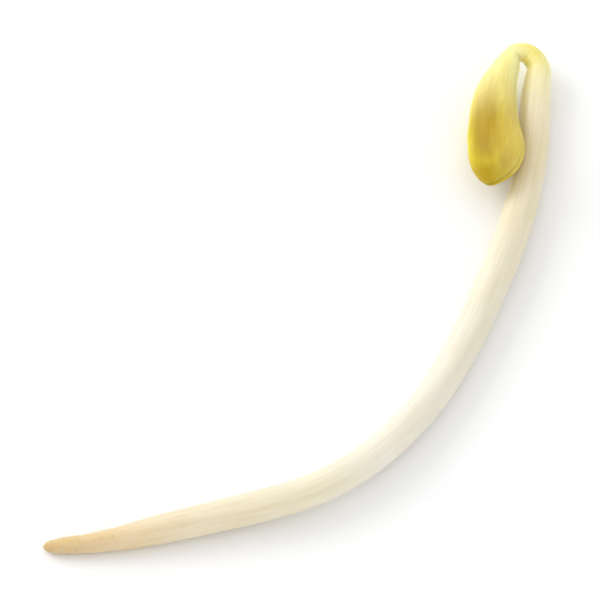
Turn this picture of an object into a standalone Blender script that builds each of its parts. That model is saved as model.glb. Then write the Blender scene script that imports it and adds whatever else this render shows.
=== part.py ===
"""Soybean sprout, lying as picked: a white stem with its root, a tight hook at the top, and a closed pair
of yellow seed leaves that hang beside the stem.

Metres, +Z up, and the surface it lies on is z = 0. +X runs from the root tip to the hook, and the origin is
in the middle of the box's underside. The routes below are in millimetres, measured from the root tip.
"""

import math

import bmesh
import bpy
import numpy as np
from mathutils import Matrix, Vector

MM = 0.001
# Points of one mesh that are closer than this are the same point.
SAME_POINT = 0.00001

# The root tip's place, which puts the origin in the middle of the sprout's length and breadth.
ROOT_TIP_X = -36.15
ROOT_TIP_Y = 10.12

STEM_END_RADIUS = 0.5
# The stem from the root tip to the seed leaves: how far along, how far across, height of its middle, radius.
# It touches the surface at three places: near the root tip, under its bend and below the hook.
STEM_ROUTE = [
    (-0.05, 0.05, 0.58, 0.12),
    (0.10, -0.10, 0.60, 0.38),
    (0.55, -0.65, 0.72, 0.62),
    (1.15, -1.30, 0.82, 0.75),
    (2.35, -2.60, 0.93, 0.88),
    (4.95, -5.00, 1.14, 1.15),
    (7.80, -7.25, 1.35, 1.40),
    (10.65, -9.50, 1.56, 1.49),
    (13.60, -11.80, 1.80, 1.54),
    (17.00, -14.30, 2.04, 1.57),
    (20.95, -16.65, 2.16, 1.58),
    (25.30, -18.07, 2.08, 1.61),
    (30.40, -18.74, 1.87, 1.62),
    (36.10, -18.50, 1.62, 1.64),
    (41.15, -17.59, 1.57, 1.66),
    (45.80, -16.32, 1.66, 1.67),
    (50.50, -14.82, 1.83, 1.66),
    (54.80, -13.20, 1.81, 1.64),
    (59.75, -10.90, 1.63, 1.59),
    (63.00, -9.05, 1.50, 1.55),
    (66.10, -6.95, 1.54, 1.51),
    (68.83, -4.99, 1.72, 1.41),
    (70.02, -4.24, 1.90, 1.30),
    (70.93, -3.58, 2.07, 1.17),
    (71.37, -2.76, 2.24, 1.08),
    (71.41, -1.93, 2.43, 1.01),
    (71.01, -1.26, 2.63, 0.94),
    (70.30, -0.90, 2.82, 0.90),
    (69.72, -0.94, 2.95, 0.84),
    (69.35, -1.08, 3.02, 0.64),
    (68.80, -1.38, 3.10, 0.58),
    (68.15, -1.78, 3.16, STEM_END_RADIUS),
    (67.95, -1.91, 3.17, 0.15),
]
STEM_SIDES = 20
STEM_STEPS_A_SPAN = 4

# The pair of seed leaves: where it joins the stem and where its blunt end is.
PAIR_BASE = (69.80, -0.50, 3.05)
PAIR_END = (56.60, -9.10, 4.20)
# How far the pair is rolled, so that its side next to the stem is the higher one.
PAIR_ROLL_DEG = 22
# Its outline: how far from the base, half its breadth, half its thickness, how far it bows to the stem.
PAIR_OUTLINE = [
    (0.68, 0.20, 0.20, 0.20),
    (0.72, 0.90, 0.88, 0.20),
    (1.00, 1.28, 1.22, 0.16),
    (1.65, 1.44, 1.38, 0.00),
    (3.00, 1.80, 1.54, -0.45),
    (4.95, 2.13, 1.74, -0.73),
    (7.65, 2.47, 1.98, -0.59),
    (9.80, 2.79, 2.08, -0.21),
    (11.05, 2.90, 2.08, 0.04),
    (12.40, 2.80, 1.98, 0.16),
    (13.50, 2.44, 1.72, 0.20),
    (14.45, 1.84, 1.28, 0.16),
    (15.15, 1.14, 0.78, 0.04),
    (15.56, 0.55, 0.38, -0.06),
    (15.68, 0.15, 0.10, -0.08),
]
PAIR_SIDES = 32
PAIR_STEPS_A_SPAN = 3
# The slit between the two seed leaves, and the clear space round the stem's end, which they clasp.
SLIT = 0.3
CLASP_GAP = 0.3
# How many of the stem's last rows the seed leaves are hollowed for.
CLASP_ROWS = 16
# The edge round a seed leaf's inner face stays sharp.
SHARP_EDGE_DEG = 40

# The block under the surface: length, breadth and depth.
SURFACE_BLOCK = (90, 40, 10)


def place(point):
    """A point given in millimetres from the root tip, in metres from the origin."""
    x, y, z = point
    return Vector(((x + ROOT_TIP_X) * MM, (y + ROOT_TIP_Y) * MM, z * MM))


def smooth(knots, steps):
    """Rows on one smooth curve through the knots, with the same number of steps from each knot to the next."""
    knots = np.array(knots, dtype=float)
    gaps = np.linalg.norm(np.diff(knots, axis=0), axis=1)
    at = np.concatenate([[0.0], np.cumsum(gaps)])
    slopes = np.gradient(knots, at, axis=0)
    rows = []
    for i, gap in enumerate(gaps):
        for t in np.arange(steps) / steps:
            start = (1 + 2 * t) * (1 - t) ** 2 * knots[i] + t * (1 - t) ** 2 * gap * slopes[i]
            end = t * t * (3 - 2 * t) * knots[i + 1] - t * t * (1 - t) * gap * slopes[i + 1]
            rows.append(start + end)
    rows.append(knots[-1])
    return rows


def new_collection(name):
    collection = bpy.data.collections.new(name)
    bpy.context.scene.collection.children.link(collection)
    return collection


def new_material(name, colour, roughness):
    material = bpy.data.materials.new(name)
    material.use_nodes = True
    shader = material.node_tree.nodes["Principled BSDF"]
    shader.inputs["Base Color"].default_value = (*colour, 1.0)
    shader.inputs["Roughness"].default_value = roughness
    shader.inputs["Metallic"].default_value = 0.0
    return material


def new_object(name, data, collection, material=None):
    thing = bpy.data.objects.new(name, data)
    collection.objects.link(thing)
    if material:
        thing.data.materials.append(material)
    return thing


def tube_mesh(name, rows, sides):
    """A closed tube along the rows, each a point and a radius, as a mesh with its caps welded on."""
    curve = bpy.data.curves.new(name, "CURVE")
    curve.dimensions = "3D"
    # A depth of one millimetre makes a point's radius a number of millimetres.
    curve.bevel_depth = MM
    curve.bevel_resolution = (sides - 4) // 2
    curve.use_fill_caps = True
    curve.twist_mode = "MINIMUM"
    spline = curve.splines.new("POLY")
    spline.points.add(len(rows) - 1)
    for point, row in zip(spline.points, rows):
        point.co = (*place(row[:3]), 1.0)
        point.radius = row[3]
    guide = bpy.data.objects.new(name, curve)
    bpy.context.scene.collection.objects.link(guide)
    evaluated = guide.evaluated_get(bpy.context.evaluated_depsgraph_get())
    mesh = bpy.data.meshes.new_from_object(evaluated)
    bpy.data.objects.remove(guide)
    bpy.data.curves.remove(curve)

    body = bmesh.new()
    body.from_mesh(mesh)
    bmesh.ops.remove_doubles(body, verts=body.verts, dist=SAME_POINT)
    bmesh.ops.recalc_face_normals(body, faces=body.faces)
    body.to_mesh(mesh)
    body.free()
    mesh.name = name
    mesh.shade_smooth()
    return mesh


def pair_frame():
    """The pair's own axes: X from its base to its blunt end, Y towards the stem, Z up out of the slit."""
    base = place(PAIR_BASE)
    along = (place(PAIR_END) - base).normalized()
    level = Vector((0, 0, 1)).cross(along).normalized()
    towards_stem = Matrix.Rotation(math.radians(PAIR_ROLL_DEG), 3, along) @ level
    up = along.cross(towards_stem)
    turn = Matrix((along, towards_stem, up)).transposed()
    return Matrix.Translation(base) @ turn.to_4x4()


def pair_body():
    """Both seed leaves as one smooth body, made from a ball whose rings take the outline's stations."""
    rows = smooth(PAIR_OUTLINE, PAIR_STEPS_A_SPAN)
    body = bmesh.new()
    bmesh.ops.create_uvsphere(body, u_segments=PAIR_SIDES, v_segments=len(rows) + 1, radius=1.0)
    for vert in body.verts:
        from_pole = math.acos(max(-1.0, min(1.0, -vert.co.z))) / math.pi * (len(rows) + 1)
        ring = min(max(round(from_pole) - 1, 0), len(rows) - 1)
        distance, breadth, thickness, bow = rows[ring]
        flat = Vector((vert.co.x, vert.co.y))
        if flat.length > SAME_POINT:
            flat.normalize()
        vert.co = Vector((distance, bow + flat.x * breadth, flat.y * thickness)) * MM
    bmesh.ops.recalc_face_normals(body, faces=body.faces)
    return body


def seed_leaf_mesh(name, side):
    """The half of the pair on one side of the slit, closed by its flat inner face."""
    body = pair_body()
    bmesh.ops.bisect_plane(
        body,
        geom=body.verts[:] + body.edges[:] + body.faces[:],
        plane_co=(0, 0, side * SLIT / 2 * MM),
        plane_no=(0, 0, -side),
        clear_outer=True,
    )
    rim = [edge for edge in body.edges if edge.is_boundary]
    bmesh.ops.contextual_create(body, geom=rim)
    bmesh.ops.recalc_face_normals(body, faces=body.faces)
    bmesh.ops.transform(body, matrix=pair_frame(), verts=body.verts)
    mesh = bpy.data.meshes.new(name)
    body.to_mesh(mesh)
    body.free()
    mesh.shade_smooth()
    mesh.set_sharp_from_angle(angle=math.radians(SHARP_EDGE_DEG))
    return mesh


def make_surface_cutter(collection):
    """A block whose top is the surface, which leaves a small flat spot wherever the stem reaches it."""
    size = Vector(SURFACE_BLOCK) * MM
    bpy.ops.mesh.primitive_cube_add(size=1, location=(0, 0, -size.z / 2))
    cutter = bpy.context.object
    cutter.name = "surface"
    for linked in cutter.users_collection:
        linked.objects.unlink(cutter)
    collection.objects.link(cutter)
    cutter.data.transform(Matrix.Diagonal((*size, 1)))
    cutter.hide_render = True
    cutter.display_type = "WIRE"
    return cutter


def make_clasp_cutter(collection):
    """The stem's end with clear space all round it, which hollows the seed leaves where they clasp it."""
    rows = smooth(STEM_ROUTE, STEM_STEPS_A_SPAN)[-CLASP_ROWS:]
    onward = rows[-1][:3] - rows[-2][:3]
    rows.append(rows[-1].copy())
    rows[-1][:3] += onward / np.linalg.norm(onward) * CLASP_GAP
    for row in rows:
        row[3] = max(row[3], STEM_END_RADIUS) + CLASP_GAP
    cutter = new_object("stem_end", tube_mesh("stem_end", rows, STEM_SIDES), collection)
    cutter.hide_render = True
    cutter.display_type = "WIRE"
    return cutter


def cut(thing, cutter, name):
    modifier = thing.modifiers.new(name, "BOOLEAN")
    modifier.operation = "DIFFERENCE"
    modifier.object = cutter


def make_stem(collection, surface):
    material = new_material("stem_white", (0.90, 0.86, 0.72), 0.40)
    rows = smooth(STEM_ROUTE, STEM_STEPS_A_SPAN)
    stem = new_object("stem", tube_mesh("stem", rows, STEM_SIDES), collection, material)
    cut(stem, surface, "rest_flats")


def make_seed_leaves(collection, stem_end):
    material = new_material("seed_leaf_yellow", (0.78, 0.62, 0.10), 0.45)
    for name, side in (("seed_leaf_upper", 1), ("seed_leaf_lower", -1)):
        leaf = new_object(name, seed_leaf_mesh(name, side), collection, material)
        cut(leaf, stem_end, "clasp")


def main():
    for thing in list(bpy.data.objects):
        bpy.data.objects.remove(thing)
    sprout = new_collection("soybean_sprout")
    cutters = new_collection("cutters")
    make_stem(sprout, make_surface_cutter(cutters))
    make_seed_leaves(sprout, make_clasp_cutter(cutters))


main()
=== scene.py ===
# %% [markdown]
# # A soybean sprout
#
# A soybean sprout is a young plant that has never seen light. It has a long white stem with its root at one
# end, and at the other end a tight hook from which the two seed leaves hang, closed like a bean.
#
# The three solids of the sprout are loaded here as a fixed frame. This lesson makes a finer piece for each of
# them, gives the pieces the skin of a crisp, watery plant, and lights them as in a plain white studio.

# %% Load the solids
import math

import bpy
import numpy as np
from mathutils import Matrix, Vector


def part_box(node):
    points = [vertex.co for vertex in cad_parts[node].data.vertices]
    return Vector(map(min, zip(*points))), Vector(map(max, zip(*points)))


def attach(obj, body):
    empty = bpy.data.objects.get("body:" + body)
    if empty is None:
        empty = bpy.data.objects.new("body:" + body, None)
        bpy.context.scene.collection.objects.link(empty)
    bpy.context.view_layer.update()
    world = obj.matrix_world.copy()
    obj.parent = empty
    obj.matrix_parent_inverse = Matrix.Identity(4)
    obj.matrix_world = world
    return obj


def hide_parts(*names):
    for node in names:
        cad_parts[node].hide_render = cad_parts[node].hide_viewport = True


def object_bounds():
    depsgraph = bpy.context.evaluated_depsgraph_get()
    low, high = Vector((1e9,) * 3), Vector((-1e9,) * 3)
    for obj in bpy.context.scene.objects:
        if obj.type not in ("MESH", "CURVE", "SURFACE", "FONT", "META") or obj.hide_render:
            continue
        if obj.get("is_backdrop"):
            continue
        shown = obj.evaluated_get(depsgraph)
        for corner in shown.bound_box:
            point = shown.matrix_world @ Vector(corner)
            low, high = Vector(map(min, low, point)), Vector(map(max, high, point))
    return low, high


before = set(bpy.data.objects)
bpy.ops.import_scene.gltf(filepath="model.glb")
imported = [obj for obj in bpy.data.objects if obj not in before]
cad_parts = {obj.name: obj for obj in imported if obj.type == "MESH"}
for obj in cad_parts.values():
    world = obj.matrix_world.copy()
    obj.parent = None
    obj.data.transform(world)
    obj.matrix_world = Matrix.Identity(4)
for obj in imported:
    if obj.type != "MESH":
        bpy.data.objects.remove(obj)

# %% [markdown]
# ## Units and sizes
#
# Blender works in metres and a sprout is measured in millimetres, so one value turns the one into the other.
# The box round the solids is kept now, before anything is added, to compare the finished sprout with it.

MM = 0.001
cad_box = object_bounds()
for name in sorted(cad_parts):
    low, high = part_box(name)
    size = (high - low) / MM
    print(f"{name}: {size.x:.1f} x {size.y:.1f} x {size.z:.1f} mm")

# %% [markdown]
# ## The camera
#
# The photograph looks down on the sprout from about 60 degrees above the table, with the stem running from
# the root at the lower left to the hook at the upper right. A wide lens close by would make the root end look
# too thick. A long lens from further away keeps the sprout's own proportions, so that is used here.

# %% Camera
VIEW_AZIMUTH = math.radians(-50.6)
VIEW_ELEVATION = math.radians(60)
LENS = 600
SENSOR = 36
PICTURE_WIDTH = 58 * MM
NEAREST_SEEN = 10 * MM
AIM = Vector((0.0, 8.2, 1.5)) * MM

camera = bpy.data.objects.new("camera", bpy.data.cameras.new("camera"))
bpy.context.scene.collection.objects.link(camera)
bpy.context.scene.camera = camera
camera.data.lens = LENS
camera.data.sensor_width = SENSOR
camera.data.clip_start = NEAREST_SEEN
towards_camera = Vector((
    math.sin(VIEW_AZIMUTH) * math.cos(VIEW_ELEVATION),
    -math.cos(VIEW_AZIMUTH) * math.cos(VIEW_ELEVATION),
    math.sin(VIEW_ELEVATION),
))
camera_distance = PICTURE_WIDTH * LENS / SENSOR
camera.location = AIM + towards_camera * camera_distance
camera.rotation_euler = (-towards_camera).to_track_quat("-Z", "Y").to_euler()
print(f"the camera is {camera_distance:.3f} m away and sees {PICTURE_WIDTH / MM:.0f} mm across")

# %% [markdown]
# ## Working by hand in code
#
# Blender's operators act on whatever is selected, so every step starts by choosing one object and nothing
# else. Modifiers are applied as soon as they are set, so that each piece ends as a plain mesh.

# %% Helpers for choosing and finishing
def pick_only(thing):
    bpy.ops.object.select_all(action="DESELECT")
    thing.select_set(True)
    bpy.context.view_layer.objects.active = thing


def apply_modifier(thing, modifier):
    pick_only(thing)
    bpy.ops.object.modifier_apply(modifier=modifier.name)


def select_points(thing, chosen):
    """Goes into edit mode with the points selected whose place is chosen, and nothing else."""
    pick_only(thing)
    bpy.ops.object.mode_set(mode="EDIT")
    bpy.ops.mesh.select_mode(type="VERT")
    bpy.ops.mesh.select_all(action="DESELECT")
    bpy.ops.object.mode_set(mode="OBJECT")
    for vertex in thing.data.vertices:
        vertex.select = chosen(vertex.co)
    bpy.ops.object.mode_set(mode="EDIT")


def smooth_over(thing, levels):
    """Rounds a coarse cage, each level with four times the faces."""
    modifier = thing.modifiers.new("smooth", "SUBSURF")
    modifier.levels = levels
    modifier.render_levels = levels
    apply_modifier(thing, modifier)
    print(f"{thing.name} has {len(thing.data.polygons)} faces after smoothing")


# %% [markdown]
# ## A curve through a few points
#
# The stem's route and the outline of the seed leaves are given by knots, the places where direction or
# thickness changes. They were picked on the photograph, turned into millimetres for its viewing angle,
# and adjusted. Straight lines between them would show as corners. The function below draws one
# smooth curve through all of them and reads the same number of rows off each stretch, radius and all.

# %% Smooth rows through knots
def smooth_rows(knots, steps):
    knots = np.array(knots, dtype=float)
    gaps = np.linalg.norm(np.diff(knots, axis=0), axis=1)
    at = np.concatenate([[0.0], np.cumsum(gaps)])
    slopes = np.gradient(knots, at, axis=0)
    rows = []
    for i, gap in enumerate(gaps):
        for t in np.arange(steps) / steps:
            start = (1 + 2 * t) * (1 - t) ** 2 * knots[i] + t * (1 - t) ** 2 * gap * slopes[i]
            end = t * t * (3 - 2 * t) * knots[i + 1] - t * t * (1 - t) * gap * slopes[i + 1]
            rows.append(start + end)
    rows.append(knots[-1])
    return np.array(rows)


# %% [markdown]
# ## A rod drawn out ring by ring
#
# Both the stem and the pair of seed leaves are round bodies whose thickness changes along their length. A
# tapered primitive has only one slope, and a curve with a bevel has only round sections. Extruding a filled
# circle, ring after ring, and resizing each new ring gives any section and stays one closed mesh.

# %% Rods
def draw_out(name, stations, sides):
    """A closed rod along X. A station is a place along, a place aside, half breadth and half thickness."""
    stations = [[value * MM for value in station] for station in stations]
    along, aside, breadth, thickness = stations[0]
    bpy.ops.object.select_all(action="DESELECT")
    bpy.ops.mesh.primitive_circle_add(
        vertices=sides, radius=1, fill_type="NGON", location=(along, aside, 0), rotation=(0, math.pi / 2, 0)
    )
    rod = bpy.context.object
    rod.name = name
    rod.data.name = name
    rod.scale = (thickness, breadth, 1)
    bpy.ops.object.transform_apply(location=True, rotation=True, scale=True)
    bpy.ops.object.mode_set(mode="EDIT")
    bpy.ops.mesh.select_all(action="SELECT")
    for before, after in zip(stations, stations[1:]):
        step = (after[0] - before[0], after[1] - before[1], 0)
        bpy.ops.mesh.extrude_region_move(TRANSFORM_OT_translate={"value": step})
        bpy.ops.transform.resize(
            value=(1, after[2] / before[2], after[3] / before[3]), center_override=(after[0], after[1], 0)
        )
    bpy.ops.mesh.select_all(action="SELECT")
    bpy.ops.mesh.normals_make_consistent(inside=False)
    bpy.ops.object.mode_set(mode="OBJECT")
    print(f"{name}: {len(stations)} rings of {sides} points, {stations[-1][0] / MM:.1f} mm long")
    return rod


# %% [markdown]
# ## The stem, still straight
#
# The real stem is a long, nearly round rod: thin and tapered at the root, thickest in its middle, and thin
# again at the hook. It could be extruded along its bent route, but then every dent and fibre would have to be
# worked out along the bends. It is easier to make it straight, finish its surface, and bend it last.
#
# The route is measured in millimetres from the root tip: how far along, how far across, height, radius.

# %% The stem's route
ROOT_TIP_X = -36.15
ROOT_TIP_Y = 10.12
STEM_ROUTE = [
    (-0.05, 0.05, 0.58, 0.12),
    (0.10, -0.10, 0.60, 0.38),
    (0.55, -0.65, 0.72, 0.62),
    (1.15, -1.30, 0.82, 0.75),
    (2.35, -2.60, 0.93, 0.88),
    (4.95, -5.00, 1.14, 1.15),
    (7.80, -7.25, 1.35, 1.40),
    (10.65, -9.50, 1.56, 1.49),
    (13.60, -11.80, 1.80, 1.54),
    (17.00, -14.30, 2.04, 1.57),
    (20.95, -16.65, 2.16, 1.58),
    (25.30, -18.07, 2.08, 1.61),
    (30.40, -18.74, 1.87, 1.62),
    (36.10, -18.50, 1.62, 1.64),
    (41.15, -17.59, 1.57, 1.66),
    (45.80, -16.32, 1.66, 1.67),
    (50.50, -14.82, 1.83, 1.66),
    (54.80, -13.20, 1.81, 1.64),
    (59.75, -10.90, 1.63, 1.59),
    (63.00, -9.05, 1.50, 1.55),
    (66.10, -6.95, 1.54, 1.51),
    (68.83, -4.99, 1.72, 1.41),
    (70.02, -4.24, 1.90, 1.30),
    (70.93, -3.58, 2.07, 1.17),
    (71.37, -2.76, 2.24, 1.08),
    (71.41, -1.93, 2.43, 1.01),
    (71.01, -1.26, 2.63, 0.94),
    (70.30, -0.90, 2.82, 0.90),
    (69.72, -0.94, 2.95, 0.84),
    (69.35, -1.08, 3.02, 0.64),
    (68.80, -1.38, 3.10, 0.58),
    (68.15, -1.78, 3.16, 0.50),
    (67.95, -1.91, 3.17, 0.15),
]
STEM_STEPS_A_SPAN = 4

route = smooth_rows(STEM_ROUTE, STEM_STEPS_A_SPAN)
stretches = np.linalg.norm(np.diff(route[:, :3], axis=0), axis=1)
route_length = np.concatenate([[0.0], np.cumsum(stretches)])
STEM_LENGTH = route_length[-1]
print(f"the stem is {STEM_LENGTH:.1f} mm long")

# %% [markdown]
# Smoothing pulls a cage in by about one hundredth, so the rings start that much wider.

# %% Draw out the stem
STEM_SIDES = 24
SMOOTHING_LEVELS = 2
SMOOTHING_LOSS = 1.0107

stations = [(at, 0, row[3] * SMOOTHING_LOSS, row[3] * SMOOTHING_LOSS) for at, row in zip(route_length, route)]
stem = draw_out("sprout_stem", stations, STEM_SIDES)
smooth_over(stem, SMOOTHING_LEVELS)

# %% [markdown]
# ## Swellings, ribs and wrinkles
#
# A real stem isn't a lathe-turned rod. It swells and narrows a little, long fibres raise faint ribs along it,
# the root end is wrinkled across, and the skin inside the hook is pressed into small folds.
#
# Each of these is a Displace modifier with a noise texture. The noise is stretched by an empty: the texture
# is read in the empty's own space, so an empty that is long along X gives long streaks along the stem. A
# vertex group says where the folds and wrinkles are. This relief is 0.05 to 0.2 mm high from hollow to
# crest, and the finest grain is left to the material.

# %% Relief
def paint(thing, name, weight_at):
    """A vertex group with each point's weight worked out from its place, in millimetres."""
    group = thing.vertex_groups.new(name=name)
    for vertex in thing.data.vertices:
        weight = weight_at(*(vertex.co / MM))
        if weight > 0:
            group.add([vertex.index], min(weight, 1), "REPLACE")
    return name


def relief(thing, name, grain, strength, where=""):
    """Noise relief. The grain is a lump's size along X, Y and Z, and the strength is its whole height."""
    texture = bpy.data.textures.new(name, "CLOUDS")
    texture.noise_scale = 1
    texture.noise_depth = 1
    stretcher = bpy.data.objects.new(name, None)
    bpy.context.scene.collection.objects.link(stretcher)
    stretcher.scale = Vector(grain) * MM
    bpy.context.view_layer.update()
    modifier = thing.modifiers.new(name, "DISPLACE")
    modifier.texture = texture
    modifier.texture_coords = "OBJECT"
    modifier.texture_coords_object = stretcher
    modifier.strength = strength * MM
    modifier.mid_level = 0.5
    modifier.vertex_group = where
    apply_modifier(thing, modifier)
    bpy.data.objects.remove(stretcher)
    print(f"{name} on {thing.name}: {strength} mm high")


# %% Relief on the stem
ROOT_LENGTH = 15
SMOOTH_TIP = 0.8
HOOK_START = 80.6
HOOK_END = 85.2
HOOK_FADE = 1
HOOK_INSIDE = (-0.1, 0.7)


def fade(value, start, end):
    """0 at the start, 1 at the end, and smooth between them."""
    t = min(max((value - start) / (end - start), 0), 1)
    return t * t * (3 - 2 * t)


def root_weight(x, y, z):
    return fade(x, ROOT_LENGTH, ROOT_LENGTH / 3) * fade(x, 0, SMOOTH_TIP)


def hook_fold_weight(x, y, z):
    along = fade(x, HOOK_START, HOOK_START + HOOK_FADE) * fade(x, HOOK_END, HOOK_END - HOOK_FADE)
    return along * fade(y, *HOOK_INSIDE)


relief(stem, "swellings", grain=(9, 3, 3), strength=0.16)
relief(stem, "ribs", grain=(14, 0.55, 0.55), strength=0.05)
root = paint(stem, "root", root_weight)
relief(stem, "root_wrinkles", grain=(0.4, 1.6, 1.6), strength=0.12, where=root)
hook = paint(stem, "hook", hook_fold_weight)
relief(stem, "hook_folds", grain=(0.28, 2.0, 2.0), strength=0.20, where=hook)

# %% [markdown]
# ## Remember the straight shape
#
# Fibres, streaks and colours run along the stem, round every bend. A material that reads the bent shape
# can't follow them. So each point stores where it was on the straight stem, and the material reads that.

# %% Straight places as an attribute
def keep_straight_places(thing):
    places = np.zeros(len(thing.data.vertices) * 3)
    thing.data.vertices.foreach_get("co", places)
    straight = thing.data.attributes.new("straight", "FLOAT_VECTOR", "POINT")
    straight.data.foreach_set("vector", places)


keep_straight_places(stem)

# %% [markdown]
# ## Bend the stem
#
# A Curve modifier lays the rod along a guide through the same route as the solid. The guide keeps Z up, so
# the stem doesn't twist. Where the soft stem lies on the table it is pressed flat: all points below the
# table are scaled to nothing in Z.

# %% Bend and press flat
def place(point):
    """A point in millimetres from the root tip, in metres from the origin."""
    return ((point[0] + ROOT_TIP_X) * MM, (point[1] + ROOT_TIP_Y) * MM, point[2] * MM)


def bend_along(thing, points):
    data = bpy.data.curves.new("guide", "CURVE")
    data.dimensions = "3D"
    data.twist_mode = "Z_UP"
    data.use_deform_bounds = False
    spline = data.splines.new("POLY")
    spline.points.add(len(points) - 1)
    for knot, point in zip(spline.points, points):
        knot.co = (*place(point), 1)
    guide = bpy.data.objects.new("guide", data)
    bpy.context.scene.collection.objects.link(guide)
    modifier = thing.modifiers.new("bend", "CURVE")
    modifier.object = guide
    modifier.deform_axis = "POS_X"
    apply_modifier(thing, modifier)
    bpy.data.objects.remove(guide)
    bpy.data.curves.remove(data)


def press_flat(thing):
    pressed = sum(vertex.co.z < 0 for vertex in thing.data.vertices)
    select_points(thing, lambda place: place.z < 0)
    bpy.ops.transform.resize(value=(1, 1, 0), center_override=(0, 0, 0))
    bpy.ops.object.mode_set(mode="OBJECT")
    print(f"{thing.name}: {pressed} points pressed flat on the table")


def furthest_from_solid(thing, node):
    """How far the piece departs from the solid it replaces, in millimetres."""
    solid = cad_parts[node]
    return max((solid.closest_point_on_mesh(v.co)[1] - v.co).length for v in thing.data.vertices) / MM


bend_along(stem, route)
press_flat(stem)
print(f"the stem departs {furthest_from_solid(stem, 'stem'):.2f} mm at most from its solid")

# %% [markdown]
# ## The seed leaves
#
# The two seed leaves are the halves of the bean. They are thick, smooth and waxy, flat on their inner sides,
# and they lie closed with a fine seam round them. Their bases clasp the thin end of the stem.
#
# They could be modelled one by one, but then they would never quite match along the seam. Here both are
# drawn out as one body, a shallow groove is pressed in where the seam runs, and the body is cut in two.
# A station is: how far from the base, half the breadth, half the thickness, how far it bows to the stem.

# %% The pair's outline and place
PAIR_BASE = (69.80, -0.50, 3.05)
PAIR_END = (56.60, -9.10, 4.20)
PAIR_ROLL = math.radians(22)
PAIR_OUTLINE = [
    (0.26, 0.86, 0.86, 0.32),
    (0.34, 0.95, 0.94, 0.31),
    (0.60, 1.04, 1.02, 0.28),
    (1.00, 1.22, 1.18, 0.18),
    (1.65, 1.42, 1.36, 0.00),
    (3.00, 1.80, 1.54, -0.45),
    (4.95, 2.13, 1.74, -0.73),
    (7.65, 2.47, 1.98, -0.59),
    (9.80, 2.79, 2.08, -0.21),
    (11.05, 2.90, 2.08, 0.04),
    (12.40, 2.80, 1.98, 0.16),
    (13.50, 2.44, 1.72, 0.20),
    (14.45, 1.84, 1.28, 0.16),
    (15.15, 1.14, 0.78, 0.04),
    (15.56, 0.55, 0.38, -0.06),
    (15.68, 0.15, 0.10, -0.08),
]
PAIR_STEPS_A_SPAN = 3
PAIR_SIDES = 32
PAIR_SMOOTHING_LOSS = 1.006

stations = []
for distance, breadth, thickness, bow in smooth_rows(PAIR_OUTLINE, PAIR_STEPS_A_SPAN):
    stations.append((distance, bow, breadth * PAIR_SMOOTHING_LOSS, thickness * PAIR_SMOOTHING_LOSS))
pair = draw_out("seed_leaf_pair", stations, PAIR_SIDES)
smooth_over(pair, SMOOTHING_LEVELS)

# %% [markdown]
# The groove is a negative relief under a vertex group that fades out a little way above and below the seam,
# and also at the base, where the seam ends.

# %% Groove, veins and dimples
SEAM_REACH = 0.34
SEAM_START = (0.5, 1.5)
SEAM_DEPTH = 0.13


def seam_weight(x, y, z):
    return fade(abs(z), SEAM_REACH, 0) * fade(x, *SEAM_START)


def groove(thing, name, depth, where):
    modifier = thing.modifiers.new(name, "DISPLACE")
    modifier.strength = -depth * MM
    modifier.mid_level = 0
    modifier.vertex_group = where
    apply_modifier(thing, modifier)


groove(pair, "seam_groove", SEAM_DEPTH, paint(pair, "seam", seam_weight))
relief(pair, "leaf_dimples", grain=(3.2, 1.8, 1.8), strength=0.16)
relief(pair, "leaf_veins", grain=(7, 0.6, 0.6), strength=0.045)
keep_straight_places(pair)

# %% [markdown]
# ## Cut the pair in two and hang it on the hook
#
# Bisect keeps what is on one side of a plane and closes the cut with a flat face. The two leaves are cut a
# few hundredths of a millimetre apart, so that they lie against each other without touching.
#
# The solids keep a clear space round the stem's end. On the real plant leaf and stem have grown together
# there, so here the leaf bases close on the stem's end and run a little way into it, where nobody sees it.

# %% Cut and place
SEAM_GAP = 0.03
SAME_POINT = 0.000001
INNER_EDGE = math.radians(40)


def pair_matrix():
    """X from the pair's base to its blunt end, Y towards the stem, Z up out of the seam."""
    base = Vector(place(PAIR_BASE))
    along = (Vector(place(PAIR_END)) - base).normalized()
    level = Vector((0, 0, 1)).cross(along).normalized()
    towards_stem = Matrix.Rotation(PAIR_ROLL, 3, along) @ level
    turn = Matrix((along, towards_stem, along.cross(towards_stem))).transposed()
    return Matrix.Translation(base) @ turn.to_4x4()


def half_of_pair(name, side):
    pick_only(pair)
    bpy.ops.object.duplicate()
    leaf = bpy.context.object
    leaf.name = name
    leaf.data.name = name
    bpy.ops.object.mode_set(mode="EDIT")
    bpy.ops.mesh.select_all(action="SELECT")
    bpy.ops.mesh.bisect(
        plane_co=(0, 0, side * SEAM_GAP / 2 * MM),
        plane_no=(0, 0, -side),
        use_fill=True,
        clear_outer=True,
        threshold=SAME_POINT,
    )
    bpy.ops.mesh.select_all(action="SELECT")
    bpy.ops.mesh.normals_make_consistent(inside=False)
    bpy.ops.object.mode_set(mode="OBJECT")
    leaf.data.transform(pair_matrix())
    bpy.ops.object.shade_smooth_by_angle(angle=INNER_EDGE)
    return leaf


upper_leaf = half_of_pair("sprout_leaf_upper", 1)
lower_leaf = half_of_pair("sprout_leaf_lower", -1)
bpy.data.objects.remove(pair)
pick_only(stem)
bpy.ops.object.shade_smooth()
for leaf, node in ((upper_leaf, "seed_leaf_upper"), (lower_leaf, "seed_leaf_lower")):
    print(f"{leaf.name} departs {furthest_from_solid(leaf, node):.2f} mm at most from its solid")

# %% [markdown]
# ## Skin that both pieces share
#
# Stem and leaves have the same kind of skin: long cells that make faint lengthwise streaks, broad cloudy
# patches where the tissue is denser, and a few small flecks. That is one effect with different sizes, so it
# is built once, as a node group, and each material gives it its own values.

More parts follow.
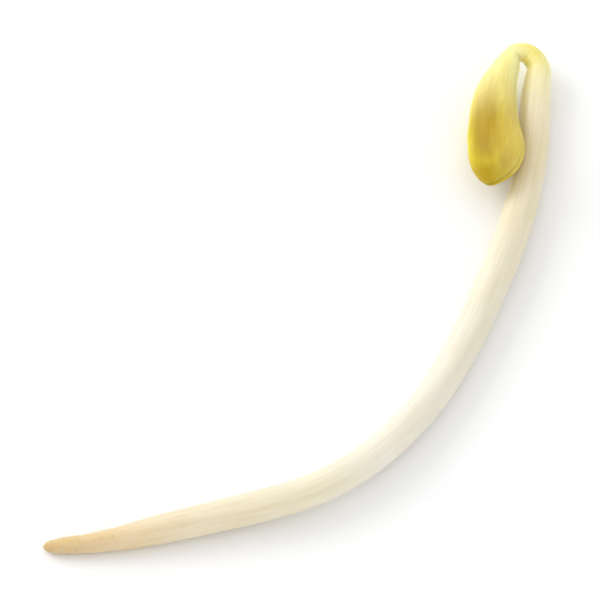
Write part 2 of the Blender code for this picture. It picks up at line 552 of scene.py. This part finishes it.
# %% Node helpers
def new_node(tree, kind, links, **settings):
    """Adds a node, sets it, and fills its inputs: a socket is linked and a plain value is set."""
    node = tree.nodes.new(kind)
    for name, value in settings.items():
        setattr(node, name, value)
    for name, value in links.items():
        if isinstance(value, bpy.types.NodeSocket):
            tree.links.new(value, node.inputs[name])
        else:
            node.inputs[name].default_value = value
    return node


def mix_colours(tree, factor, first, second):
    mixer = new_node(tree, "ShaderNodeMix", {}, data_type="RGBA")
    for index, value in ((0, factor), (6, first), (7, second)):
        if isinstance(value, bpy.types.NodeSocket):
            tree.links.new(value, mixer.inputs[index])
        elif index == 0:
            mixer.inputs[index].default_value = value
        else:
            mixer.inputs[index].default_value = (*value, 1)
    return mixer.outputs[2]


def spread(tree, value, low, high, to_low=0.0, to_high=1.0, slope="LINEAR"):
    """Stretches a value from one range to another, and clamps it."""
    links = {"Value": value, "From Min": low, "From Max": high, "To Min": to_low, "To Max": to_high}
    return new_node(tree, "ShaderNodeMapRange", links, interpolation_type=slope).outputs["Result"]


def mask(tree, value, reach, to_low=0.0, to_high=1.0, slope="LINEAR"):
    """Spreads a place along one axis over a reach in millimetres."""
    return spread(tree, value, reach[0] * MM, reach[1] * MM, to_low, to_high, slope)


def weaker(tree, value, most):
    return spread(tree, value, 0.0, 1.0, 0.0, most)


def changed(tree, colour, change):
    """A colour with its hue, saturation or value changed."""
    return new_node(tree, "ShaderNodeHueSaturation", {"Color": colour, **change}).outputs["Color"]


def larger(tree, first, second):
    return new_node(tree, "ShaderNodeMath", {0: first, 1: second}, operation="MAXIMUM").outputs["Value"]


def colour_ramp(tree, value, stops):
    ramp = new_node(tree, "ShaderNodeValToRGB", {"Fac": value})
    elements = ramp.color_ramp.elements
    while len(elements) < len(stops):
        elements.new(1)
    for element, (position, colour) in zip(elements, stops):
        element.position = position
        element.color = (*colour, 1)
    return ramp.outputs["Color"]


# %% The shared skin group
NOISE_ROUGHNESS = 0.55
NOISE_MIDDLE = (0.35, 0.65)
FLECK_PEAKS = (0.70, 0.76)
FLECK_HEIGHT = 0.35


def make_skin_group():
    group = bpy.data.node_groups.new("plant_skin", "ShaderNodeTree")
    for name, kind in (
        ("Place", "NodeSocketVector"),
        ("Streak Size", "NodeSocketVector"),
        ("Patch Size", "NodeSocketVector"),
        ("Fleck Size", "NodeSocketVector"),
    ):
        group.interface.new_socket(name=name, in_out="INPUT", socket_type=kind)
    for name in ("Streaks", "Patches", "Flecks", "Height"):
        group.interface.new_socket(name=name, in_out="OUTPUT", socket_type="NodeSocketFloat")
    given = group.nodes.new("NodeGroupInput").outputs
    result = group.nodes.new("NodeGroupOutput").inputs

    def noise(size, detail):
        scaled = new_node(group, "ShaderNodeVectorMath", {0: given["Place"], 1: size}, operation="DIVIDE")
        links = {"Vector": scaled.outputs["Vector"], "Scale": 1.0, "Detail": detail}
        return new_node(group, "ShaderNodeTexNoise", {**links, "Roughness": NOISE_ROUGHNESS}).outputs["Fac"]

    streaks = noise(given["Streak Size"], detail=3.0)
    patches = noise(given["Patch Size"], detail=2.0)
    flecks = noise(given["Fleck Size"], detail=1.0)
    group.links.new(spread(group, streaks, *NOISE_MIDDLE), result["Streaks"])
    group.links.new(spread(group, patches, *NOISE_MIDDLE), result["Patches"])
    group.links.new(spread(group, flecks, *FLECK_PEAKS), result["Flecks"])
    sum_of_both = {0: flecks, 1: FLECK_HEIGHT, 2: streaks}
    height = new_node(group, "ShaderNodeMath", sum_of_both, operation="MULTIPLY_ADD")
    group.links.new(height.outputs["Value"], result["Height"])
    return group


plant_skin = make_skin_group()
print(f"{plant_skin.name} has {len(plant_skin.nodes)} nodes")

# %% [markdown]
# ## Bringing the skin into a material
#
# Plant tissue lets light in: it is lit through where it is thin and glows at its edges. That is subsurface
# scattering, and it does most of the work in the look of a sprout. The reach of the light in the tissue is
# the same all over, so it is set on the shader itself.

# %% Start a plant material
def start_material(name, streak, patch, fleck):
    """A material with its shader, the straight place of each point, and the skin of the given grain sizes."""
    material = bpy.data.materials.new(name)
    material.use_nodes = True
    tree = material.node_tree
    shader = tree.nodes["Principled BSDF"]
    places = new_node(tree, "ShaderNodeAttribute", {}, attribute_name="straight").outputs["Vector"]
    skin = new_node(tree, "ShaderNodeGroup", {}, node_tree=plant_skin)
    tree.links.new(places, skin.inputs["Place"])
    for socket, size in (("Streak Size", streak), ("Patch Size", patch), ("Fleck Size", fleck)):
        skin.inputs[socket].default_value = Vector(size) * MM
    parts = new_node(tree, "ShaderNodeSeparateXYZ", {"Vector": places}).outputs
    return material, tree, shader, skin.outputs, parts


def set_tissue(shader, weight, colour_reach, depth):
    shader.inputs["Subsurface Weight"].default_value = weight
    shader.inputs["Subsurface Radius"].default_value = colour_reach
    shader.inputs["Subsurface Scale"].default_value = depth * MM


def add_bump(tree, shader, height, depth):
    links = {"Height": height, "Distance": depth * MM, "Strength": 1.0}
    bump = new_node(tree, "ShaderNodeBump", links)
    tree.links.new(bump.outputs["Normal"], shader.inputs["Normal"])


# %% [markdown]
# ## The stem's skin
#
# The colour changes slowly along the stem: tan at the root tip, cream where the root begins, ivory white for
# most of its length, and pale yellow at the hook. A colour ramp over the length holds that. Its colours were
# set by comparing renders with the photograph. Streaks and patches then make the skin a little
# uneven, and brown flecks show on the root and hardly anywhere else.
#
# Each stop of the ramp is a place along the stem in millimetres and the colour there.

# %% Stem material
STEM_COLOURS = [
    (0.0, (0.50, 0.35, 0.14)),
    (1.5, (0.66, 0.49, 0.23)),
    (8.0, (0.75, 0.59, 0.35)),
    (15.0, (0.79, 0.70, 0.50)),
    (24.0, (0.80, 0.735, 0.56)),
    (34.0, (0.83, 0.79, 0.67)),
    (42.0, (0.80, 0.755, 0.64)),
    # From 58 to 76 mm, where the stem lies beside the seed leaves, the colours are darker and yellower:
    # partly painted shade and yellow reflection from the leaves, partly the hook's own yellow running down
    # the stem.
    (58.0, (0.78, 0.72, 0.55)),
    (66.0, (0.76, 0.68, 0.47)),
    (72.0, (0.78, 0.69, 0.47)),
    (76.0, (0.82, 0.74, 0.50)),
    (79.5, (0.86, 0.80, 0.48)),
    (82.3, (0.84, 0.76, 0.20)),
    (84.5, (0.89, 0.83, 0.40)),
]
STEM_STREAK = {"Saturation": 1.18, "Value": 0.90}
STEM_PATCH = {"Saturation": 0.75, "Value": 1.04}
STEM_ROUGHNESS = (0.34, 0.48)
FLECK_COLOUR = (0.36, 0.22, 0.09)
FLECK_REACH = (6, ROOT_LENGTH)
FLECKS_ON_ROOT = 0.55
FLECKS_ELSEWHERE = 0.04


def make_stem_material():
    material, tree, shader, skin, parts = start_material(
        "stem_skin", streak=(7, 0.30, 0.30), patch=(5, 2, 2), fleck=(0.5, 0.35, 0.35)
    )
    along = spread(tree, parts["X"], 0.0, STEM_LENGTH * MM)
    base = colour_ramp(tree, along, [(at / STEM_LENGTH, colour) for at, colour in STEM_COLOURS])
    streaks = weaker(tree, skin["Streaks"], most=0.6)
    streaked = mix_colours(tree, streaks, base, changed(tree, base, STEM_STREAK))
    patches = weaker(tree, skin["Patches"], most=0.7)
    patched = mix_colours(tree, patches, streaked, changed(tree, streaked, STEM_PATCH))
    on_root = mask(tree, parts["X"], FLECK_REACH, FLECKS_ON_ROOT, FLECKS_ELSEWHERE)
    flecks = new_node(tree, "ShaderNodeMath", {0: skin["Flecks"], 1: on_root}, operation="MULTIPLY")
    final = mix_colours(tree, flecks.outputs["Value"], patched, FLECK_COLOUR)
    tree.links.new(final, shader.inputs["Base Color"])
    tree.links.new(spread(tree, skin["Streaks"], 0.0, 1.0, *STEM_ROUGHNESS), shader.inputs["Roughness"])
    set_tissue(shader, weight=0.7, colour_reach=(1.0, 0.85, 0.55), depth=1.3)
    add_bump(tree, shader, skin["Height"], depth=0.05)
    print(f"{material.name} has {len(tree.nodes)} nodes and {len(STEM_COLOURS)} colours along the stem")
    return material


stem.data.materials.clear()
stem.data.materials.append(make_stem_material())

# %% [markdown]
# ## The seed leaves' skin
#
# The seed leaves are golden yellow, pale where they join the stem and a little creamier beside it. On their
# crowns and at the blunt end they are deepest in colour, partly their own deeper yellow and partly painted
# shade. Along the thin rim away from the stem they are lemon yellow, partly their own paler margin and partly
# painted light, the glow of the lit edge. Each of these places is a mask along one of the pair's own axes,
# given in millimetres.

# %% Seed leaf material
# The rim colour is partly the leaves' own pale margin and partly painted light, the glow of the thin lit
# edge.
LIT_PALE_RIM_COLOUR = (0.90, 0.82, 0.06)
# The crown colour is partly the leaves' own deeper yellow and partly painted shade.
DEEP_AND_SHADED_CROWN_COLOUR = (0.42, 0.28, 0.004)
STEM_SIDE_COLOUR = (0.68, 0.54, 0.11)
BASE_COLOUR = (0.90, 0.82, 0.36)
SHADED_CROWN_REACH = (0.3, 1.9)
STEM_SIDE_REACH = (-1.5, 1.5)
BLUNT_END_REACH = (10, 14.5)
BLUNT_END_DEPTH = 0.9
CREAMIER_REACH = (0.0, 2.4)
BASE_REACH = (10.5, 0.6)
LEAF_PATCH = {"Saturation": 0.98, "Value": 1.12}
LEAF_STREAK = {"Hue": 0.49, "Saturation": 1.05, "Value": 0.86}
LEAF_ROUGHNESS = (0.40, 0.52)
LEAF_SPECULAR = 0.2


def make_leaf_material():
    material, tree, shader, skin, parts = start_material(
        "seed_leaf_skin", streak=(4, 0.35, 0.35), patch=(3, 1.6, 1.6), fleck=(0.3, 0.3, 0.3)
    )
    height = new_node(tree, "ShaderNodeMath", {0: parts["Z"]}, operation="ABSOLUTE").outputs["Value"]
    shaded_crown = mask(tree, height, SHADED_CROWN_REACH)
    stem_side = mask(tree, parts["Y"], STEM_SIDE_REACH)
    blunt_end = mask(tree, parts["X"], BLUNT_END_REACH, to_high=BLUNT_END_DEPTH)
    # Where this mask is high the leaf takes its deeper colour with painted shade, and where it is low the
    # painted light of the lemon rim.
    deep_and_shade = larger(tree, shaded_crown, larger(tree, stem_side, blunt_end))
    creamier = mask(tree, parts["Y"], CREAMIER_REACH)
    deep_and_shade_colour = mix_colours(tree, creamier, DEEP_AND_SHADED_CROWN_COLOUR, STEM_SIDE_COLOUR)
    body = mix_colours(tree, deep_and_shade, LIT_PALE_RIM_COLOUR, deep_and_shade_colour)
    near_base = mask(tree, parts["X"], BASE_REACH, slope="SMOOTHSTEP")
    body = mix_colours(tree, near_base, body, BASE_COLOUR)
    patches = weaker(tree, skin["Patches"], most=0.6)
    body = mix_colours(tree, patches, body, changed(tree, body, LEAF_PATCH))
    streaks = weaker(tree, skin["Streaks"], most=0.5)
    body = mix_colours(tree, streaks, body, changed(tree, body, LEAF_STREAK))
    tree.links.new(body, shader.inputs["Base Color"])
    tree.links.new(spread(tree, skin["Patches"], 0.0, 1.0, *LEAF_ROUGHNESS), shader.inputs["Roughness"])
    set_tissue(shader, weight=0.7, colour_reach=(1.0, 0.75, 0.10), depth=1.3)
    shader.inputs["Specular IOR Level"].default_value = LEAF_SPECULAR
    add_bump(tree, shader, skin["Height"], depth=0.03)
    print(f"{material.name} has {len(tree.nodes)} nodes")
    return material


leaf_material = make_leaf_material()
for leaf in (upper_leaf, lower_leaf):
    leaf.data.materials.clear()
    leaf.data.materials.append(leaf_material)

# %% [markdown]
# ## The table and the light
#
# The sprout lies on a plain white table. A large soft lamp stands behind it to the left, as in the
# photograph, where the stem is brightest on its upper left side and a soft pale shadow falls to the lower
# right. White light from all round fills the shadows.

# %% Table
TABLE_SIZE = 3
TABLE_COLOUR = (0.93, 0.93, 0.93)
TABLE_ROUGHNESS = 0.6

bpy.ops.object.select_all(action="DESELECT")
bpy.ops.mesh.primitive_plane_add(size=TABLE_SIZE, location=(0, 0, 0))
table = bpy.context.object
table.name = "table"
table_material = bpy.data.materials.new("table_white")
table_material.use_nodes = True
table_shader = table_material.node_tree.nodes["Principled BSDF"]
table_shader.inputs["Base Color"].default_value = (*TABLE_COLOUR, 1)
table_shader.inputs["Roughness"].default_value = TABLE_ROUGHNESS
table.data.materials.append(table_material)
table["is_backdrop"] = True
print(f"{table.name}: {TABLE_SIZE} m across")

# %% Lamps
SURROUNDING_LIGHT = 0.95
PICTURE_RIGHT = Vector((math.cos(VIEW_AZIMUTH), math.sin(VIEW_AZIMUTH), 0))
PICTURE_AWAY = Vector((-math.sin(VIEW_AZIMUTH), math.cos(VIEW_AZIMUTH), 0))


def add_lamp(name, right, away, up, distance, size, power):
    """A square lamp that points at the sprout from a direction given as seen in the picture."""
    direction = (PICTURE_RIGHT * right + PICTURE_AWAY * away + Vector((0, 0, up))).normalized()
    lamp = bpy.data.objects.new(name, bpy.data.lights.new(name, "AREA"))
    bpy.context.scene.collection.objects.link(lamp)
    lamp.data.shape = "SQUARE"
    lamp.data.size = size
    lamp.data.energy = power
    lamp.location = AIM + direction * distance
    lamp.rotation_euler = direction.to_track_quat("Z", "Y").to_euler()
    print(f"{name}: {size} m across, {distance} m away, {power} W")


add_lamp("key_lamp", right=-0.85, away=0.5, up=0.62, distance=1.2, size=0.8, power=6.4)
world = bpy.data.worlds.new("studio")
world.use_nodes = True
world.node_tree.nodes["Background"].inputs["Color"].default_value = (1, 1, 1, 1)
world.node_tree.nodes["Background"].inputs["Strength"].default_value = SURROUNDING_LIGHT
bpy.context.scene.world = world
bpy.context.scene.view_settings.view_transform = "Standard"
bpy.context.scene.view_settings.look = "None"

# %% [markdown]
# ## Hand the pieces over
#
# Each piece rides on the sprout's one body and replaces its solid.

# %% Ride and replace
for piece, node, finish in (
    (stem, "stem", "stem_white"),
    (upper_leaf, "seed_leaf_upper", "seed_leaf_yellow"),
    (lower_leaf, "seed_leaf_lower", "seed_leaf_yellow"),
):
    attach(piece, "root")
    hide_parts(node)
    print(f"{piece.name} replaces {node}, {len(piece.data.polygons)} faces")

# %% Sizes
sprout_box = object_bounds()
for label, box in (("solids", cad_box), ("finished", sprout_box)):
    size = (box[1] - box[0]) / MM
    print(f"{label}: {size.x:.2f} x {size.y:.2f} x {size.z:.2f} mm")
